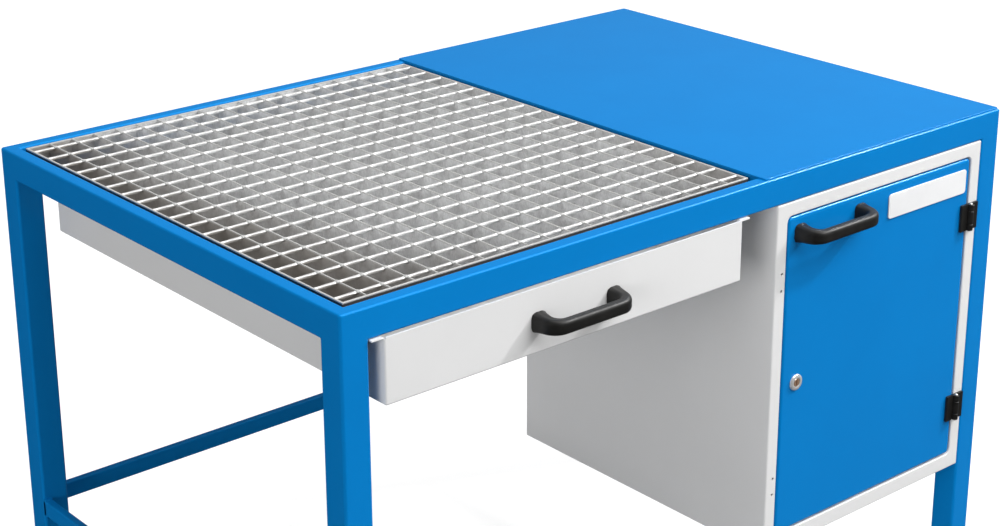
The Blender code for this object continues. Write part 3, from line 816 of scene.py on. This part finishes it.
def addRunner(side):
    lo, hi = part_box(f"runner_{side}")
    wall, reach = (lo.x, hi.x) if side == "left" else (hi.x, lo.x)
    mesh = bmesh.new()
    corners = [mesh.verts.new((x, lo.y, z)) for x, z in ((wall, hi.z), (wall, lo.z), (reach, lo.z))]
    edges = [mesh.edges.new(pair) for pair in zip(corners, corners[1:])]
    made = bmesh.ops.extrude_edge_only(mesh, edges=edges)["geom"]
    bmesh.ops.translate(mesh, vec=back * (hi.y - lo.y), verts=vertsIn(made))
    bend = edgesWhere(mesh, lambda edge: runsAlong(edge, back) and len(edge.link_faces) == 2)
    rounded(mesh, bend, runner["bend"], segments=4)
    faceOutward(mesh)
    mesh = thickened(mesh, runner["sheet"])
    addPiece(f"bent_runner_{side}", mesh, galvanised, "table", [f"runner_{side}"])


for side in ("left", "right"):
    addRunner(side)
print("drawer and runners folded")

# Cabinet: folded box with a face frame and lips round the door
box = {
    "sheet": 0.0015,
    "bend": 0.0022,
    "lip": 0.0014,
    "doorGap": 0.002,
    "inset": 0.01,
    "sharp": 1,  # least bend in radians of the edges that are folded
    "mouthCorner": 0.009,
    "lipDepth": 0.02,
    "holeRadius": 0.0022,
    "holeInset": 0.0135,
    "holePitch": 0.025,
    "holeReach": 0.003,
}


def addCabinet():
    lo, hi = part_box("cabinet")
    doorLo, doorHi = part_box("door")
    gap = Vector((box["doorGap"], 0, box["doorGap"]))
    mouthLo, mouthHi = doorLo - gap, doorHi + gap

    def inMouth(vert):
        near = tolerance["near"]
        return all(mouthLo[axis] - near < vert.co[axis] < mouthHi[axis] + near for axis in (0, 2))

    mesh = newBox(lo, hi)
    face = facing(mesh, -back)[0]
    bmesh.ops.inset_region(mesh, faces=[face], thickness=box["inset"])
    centre = face.calc_center_median()
    half = face.verts[0].co - centre
    mouth, middle = (mouthHi - mouthLo) / 2, (mouthLo + mouthHi) / 2
    stretchFace(mesh, face, mouth.x / abs(half.x), mouth.z / abs(half.z))
    shift = Vector((middle.x, lo.y, middle.z)) - centre
    bmesh.ops.translate(mesh, vec=shift, verts=face.verts)
    lip = extruded(mesh, face)
    bmesh.ops.translate(mesh, vec=back * box["lipDepth"], verts=lip.verts)
    bmesh.ops.delete(mesh, geom=[lip], context="FACES")
    corners = [edge for edge in edgesAlong(mesh, back) if all(map(inMouth, edge.verts))]
    rounded(mesh, corners, box["mouthCorner"], segments=7)
    rim = [edge for edge in atLevel(mesh, 1, lo.y) if all(map(inMouth, edge.verts))]
    rounded(mesh, rim, box["lip"])
    outside = edgesWhere(mesh, lambda edge: not edge.is_boundary and edge.calc_face_angle(0) > box["sharp"]
                         and not any(map(inMouth, edge.verts)))
    rounded(mesh, outside, box["bend"], segments=4)
    mesh = thickened(mesh, box["sheet"])
    reach = box["holeReach"]
    for label in ("upper", "lower"):
        pinLo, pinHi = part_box(f"hinge_{label}_pin")
        for step in (-box["holePitch"] / 2, box["holePitch"] / 2):
            place = Vector((lo.x + box["holeInset"], lo.y, (pinLo.z + pinHi.z) / 2 + step))
            mesh = drilled(mesh, place, back, box["holeRadius"], -reach, reach, steps=16)
    addPiece("folded_cabinet", mesh, greyPaint, "table", ["cabinet"])


addCabinet()

# Door: shallow tray with a rounded edge, and the plate on it
leaf = {"sheet": 0.0015, "corner": 0.007, "edge": 0.005, "hole": 0.0098, "holeReach": 0.004}
plate = {"corner": 0.005, "edge": 0.0005}


def addDoor():
    lo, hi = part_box("door")
    nutLo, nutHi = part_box("lock_nut")
    mesh = newBox(lo, hi)
    rounded(mesh, edgesAlong(mesh, back), leaf["corner"], segments=6)
    rounded(mesh, atLevel(mesh, 1, lo.y), leaf["edge"], segments=5)
    bmesh.ops.delete(mesh, geom=facing(mesh, back), context="FACES_ONLY")
    mesh = thickened(mesh, leaf["sheet"])
    place = (nutLo + nutHi) / 2
    place.y = lo.y
    reach = leaf["holeReach"]
    mesh = drilled(mesh, place, back, leaf["hole"], -reach, reach, steps=32)
    addPiece("door_leaf", mesh, bluePaint, "door", ["door"])


def addPlate():
    lo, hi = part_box("door_plate")
    mesh = newBox(lo, hi)
    rounded(mesh, edgesAlong(mesh, back), plate["corner"], segments=6)
    rounded(mesh, atLevel(mesh, 1, lo.y), plate["edge"])
    addPiece("bare_plate", mesh, whitePlate, "door", ["door_plate"])


addDoor()
addPlate()
print("cabinet and door folded")

# Bow handles: a flared foot, a bend and an oval grip, swept by extruding the end face
handle = {
    "foot": (0.023, 0.026),
    "neck": (0.0205, 0.0235),
    "grip": (0.014, 0.018),
    "footEdge": 0.0012,
    "footRise": 0.0045,
    "bend": 0.017,
    "bendSteps": 6,
    "bendStart": 0.35,  # where it starts, as a share of the way from neck to grip
    "span": 0.124,
    "reach": 0.0317,
    "sides": 16,
    "squareness": 0.42,
    "cornerSlope": (0.9, 1.4),
    "footCrease": 0.75,
}


def addHandle(body):
    lo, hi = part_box(f"{body}_handle")
    foot, neck, grip = (Vector(handle[name]) for name in ("foot", "neck", "grip"))
    start, straight = handle["bendStart"], handle["reach"] - handle["bend"]
    mesh = bmesh.new()
    bmesh.ops.create_circle(mesh, segments=handle["sides"], radius=0.5, cap_ends=True)
    for vert in mesh.verts:
        vert.co *= 1 + handle["squareness"] * abs(vert.co.x * vert.co.y) * 4
    quarter = Matrix.Rotation(math.radians(90), 3, "X")
    bmesh.ops.rotate(mesh, cent=(0, 0, 0), matrix=quarter, verts=mesh.verts)
    bmesh.ops.scale(mesh, vec=(foot.x, 1, foot.y), verts=mesh.verts)
    face = next(iter(mesh.faces))
    size, rise = foot, 0
    stops = ((handle["footEdge"], foot), (handle["footRise"], neck), (straight, neck.lerp(grip, start)))
    for level, target in stops:
        face = extruded(mesh, face)
        stretchFace(mesh, face, target.x / size.x, target.y / size.y)
        bmesh.ops.translate(mesh, vec=-back * (level - rise), verts=face.verts)
        size, rise = target, level
    crease = mesh.edges.layers.float.new("crease_edge")
    flat, steep = handle["cornerSlope"]
    for edge in mesh.edges:
        if all(abs(vert.co.x) * flat < abs(vert.co.z) < abs(vert.co.x) * steep for vert in edge.verts):
            edge[crease] = handle["footCrease"]
    pivot = Vector((handle["bend"], -straight, 0))
    turn = math.radians(90) / handle["bendSteps"]
    for step in range(handle["bendSteps"]):
        face = extruded(mesh, face)
        target = neck.lerp(grip, start + (1 - start) * (step + 1) / handle["bendSteps"])
        middle = face.calc_center_median()
        tilt = Matrix.Rotation(turn * step, 3, "Z")
        bmesh.ops.rotate(mesh, cent=middle, matrix=tilt.inverted(), verts=face.verts)
        stretchFace(mesh, face, target.x / size.x, target.y / size.y)
        bmesh.ops.rotate(mesh, cent=middle, matrix=tilt, verts=face.verts)
        bmesh.ops.rotate(mesh, cent=pivot, matrix=Matrix.Rotation(turn, 3, "Z"), verts=face.verts)
        size = target
    halfGrip = handle["span"] / 2 - handle["bend"]
    for _ in range(2):
        face = extruded(mesh, face)
        bmesh.ops.translate(mesh, vec=right * halfGrip / 2, verts=face.verts)
    bmesh.ops.delete(mesh, geom=[face], context="FACES_ONLY")
    bmesh.ops.translate(mesh, vec=-right * handle["span"] / 2, verts=mesh.verts)
    whole = mesh.verts[:] + mesh.edges[:] + mesh.faces[:]
    bmesh.ops.mirror(mesh, geom=whole, axis="X", merge_dist=tolerance["near"])
    bmesh.ops.remove_doubles(mesh, verts=mesh.verts, dist=tolerance["near"])
    bmesh.ops.recalc_face_normals(mesh, faces=mesh.faces)
    seat = Vector(((lo.x + hi.x) / 2, hi.y, (lo.z + hi.z) / 2))
    bmesh.ops.translate(mesh, vec=seat, verts=mesh.verts)
    addPiece(f"{body}_bow", mesh, blackPlastic, body, [f"{body}_handle"], sharp=75, subdivisions=2)


for body in ("drawer", "door"):
    addHandle(body)
print("handles made")

# Hinges: black leaves with knuckles round a bright pin
hinge = {
    "leaf": 0.004,
    "leafEdge": 0.001,
    "knuckle": 0.005,
    "knuckleEdge": 0.0005,
    "knuckleRoom": 0.0006,
    "play": 0.0003,
    "segments": 24,
    "pin": 0.0025,
    "pinDome": 0.001,
    "pinSegments": 20,
}


def addHinge(label):
    pinLo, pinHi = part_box(f"hinge_{label}_pin")
    axis = (pinLo + pinHi) / 2
    radius, soft, play = hinge["knuckle"], hinge["knuckleEdge"], hinge["play"]
    bore = hinge["pin"] + play
    for owner, body in (("door", "door"), ("frame", "table")):
        name = f"hinge_{label}_{owner}_leaf"
        lo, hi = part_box(name)
        start, end = sorted((axis.x, lo.x if owner == "door" else hi.x))
        mesh = newBox(Vector((start, hi.y - hinge["leaf"], lo.z)), Vector((end, hi.y, hi.z)))
        free = edgesWhere(mesh, lambda edge: min(abs(vert.co.x - axis.x) for vert in edge.verts) > soft)
        rounded(mesh, free, hinge["leafEdge"])
        quarter = (hi.z - lo.z) / 4
        middle, ends = [(-quarter, quarter)], [(-2 * quarter, -quarter), (quarter, 2 * quarter)]
        own, others = (middle, ends) if owner == "door" else (ends, middle)
        for low, high in others:
            room = radius + hinge["knuckleRoom"]
            mesh = drilled(mesh, axis, up, room, low - play, high + play, hinge["segments"])
        shells = [mesh]
        for low, high in own:
            low, high = low + play, high - play
            profile = [(bore, low), (radius - soft, low), (radius, low + soft), (radius, high - soft),
                       (radius - soft, high), (bore, high), (bore, low)]
            shells.append(turned(profile, axis, up, hinge["segments"]))
        addPiece(f"{name}_moulded", merged(*shells), blackPlastic, body, [name])
    half, pin, dome = (pinHi.z - pinLo.z) / 2, hinge["pin"], hinge["pinDome"]
    profile = [(0, -half), (pin - dome, -half), (pin, dome - half), (pin, half - dome),
               (pin - dome, half), (0, half)]
    mesh = turned(profile, axis, up, hinge["pinSegments"])
    addPiece(f"hinge_{label}_rod", mesh, zincSteel, "table", [f"hinge_{label}_pin"])


for label in ("upper", "lower"):
    addHinge(label)

# Cam lock: rounded chrome collar, keyed plug, hexagon nut and cam
lock = {
    "softness": 0.0012,
    "shoulder": ((3, 0), (1, 0.35), (0.2, 1), (0, 2)),  # inward and down, in units of the softness
    "boreEdge": (0.0008, 0.0006),
    "play": 0.0003,
    "barrelWall": 0.0032,
    "plugDrop": 0.0005,
    "plugEdge": 0.0005,
    "spigot": 0.003,
    "slotWidth": 0.002,
    "slotLength": 0.008,
    "slotDepth": 0.005,
    "nutRadius": 0.0138,
    "nutEdge": 0.0006,
    "nutRoom": 0.001,
    "steps": 48,
}


def addLock():
    lo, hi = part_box("lock_housing")
    plugLo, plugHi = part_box("lock_plug")
    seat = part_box("door")[0].y
    middle = (lo + hi) / 2
    middle.y = seat
    radius, plug = (hi.x - lo.x) / 2, (plugHi.x - plugLo.x) / 2
    bore = plug + lock["play"]
    barrel = bore + lock["barrelWall"]
    proud, rear = seat - lo.y, seat - hi.y
    wide, drop = lock["boreEdge"]
    shoulder = [(radius - inward * lock["softness"], proud - down * lock["softness"])
                for inward, down in lock["shoulder"]]
    profile = [(bore, proud - drop), (bore + wide, proud), *shoulder, (radius, lock["play"]),
               (barrel, lock["play"]), (barrel, rear), (bore, rear), (bore, proud - drop)]
    mesh = turned(profile, middle, -back, lock["steps"])
    addPiece("lock_collar", mesh, chrome, "door", ["lock_housing"])
    end, front, spigot = seat - plugHi.y, proud - lock["plugDrop"], lock["spigot"]
    profile = [(0, end), (spigot, end), (spigot, rear), (plug, rear), (plug, front - lock["plugEdge"]),
               (plug - lock["plugEdge"], front), (0, front)]
    mesh = turned(profile, middle, -back, lock["steps"])
    half = Vector((lock["slotWidth"], 2 * lock["slotDepth"], lock["slotLength"])) / 2
    tip = middle - back * front
    addPiece("lock_keyway", cut(mesh, newBox(tip - half, tip + half)), chrome, "lock", ["lock_plug"])
    addNut(middle, barrel + lock["play"])


def addNut(middle, bore):
    lo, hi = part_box("lock_nut")
    place, depth, room = Vector((middle.x, lo.y, middle.z)), hi.y - lo.y, lock["nutRoom"]
    mesh = bmesh.new()
    bmesh.ops.create_circle(mesh, segments=6, radius=lock["nutRadius"], cap_ends=True)
    quarter = Matrix.Rotation(math.radians(90), 3, "X")
    bmesh.ops.rotate(mesh, cent=(0, 0, 0), matrix=quarter, verts=mesh.verts)
    bmesh.ops.translate(mesh, vec=place, verts=mesh.verts)
    made = bmesh.ops.extrude_face_region(mesh, geom=mesh.faces[:])["geom"]
    bmesh.ops.translate(mesh, vec=back * depth, verts=vertsIn(made))
    bmesh.ops.recalc_face_normals(mesh, faces=mesh.faces)
    rounded(mesh, mesh.edges[:], lock["nutEdge"], segments=2)
    mesh = drilled(mesh, place, back, bore, -room, depth + 2 * room, lock["steps"])
    addPiece("lock_ring_nut", mesh, zincSteel, "door", ["lock_nut"])


addLock()
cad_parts["lock_cam"].data.materials.clear()
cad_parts["lock_cam"].data.materials.append(zincSteel)

# Screws: domed heads with a cross recess
screw = {
    "head": 0.0045,
    "headHeight": 0.003,
    "dome": ((1, 0.6), (0.86, 0.22), (0.5, 0.04)),  # shares of the head's radius and height
    "shank": 0.0022,
    "tip": 0.001,
    "tipShare": 0.6,
    "segments": 24,
    "recess": 0.0016,
    "recessWidth": 0.0011,
    "recessLength": 0.0046,
}


def addScrew(name, body):
    lo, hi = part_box(name)
    length = hi.y - lo.y
    seat = (lo + hi) / 2
    seat.y = hi.y
    head, high, shank = screw["head"], screw["headHeight"], screw["shank"]
    dome = [(head * wide, high * deep) for wide, deep in screw["dome"]]
    profile = [(0, length), (shank * screw["tipShare"], length), (shank, length - screw["tip"]),
               (shank, high), (head, high), *dome, (0, 0)]
    mesh = turned(profile, seat, -back, screw["segments"])
    deep, wide, long = screw["recess"], screw["recessWidth"], screw["recessLength"]
    for size in (Vector((wide, 2 * deep, long)), Vector((long, 2 * deep, wide))):
        mesh = cut(mesh, newBox(seat - size / 2, seat + size / 2))
    addPiece(f"{name}_domed", mesh, zincSteel, body, [name])


for name in [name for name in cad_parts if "_screw_" in name]:
    addScrew(name, "drawer" if name.startswith("drawer") else "door")
print("hinges, lock and screws made")
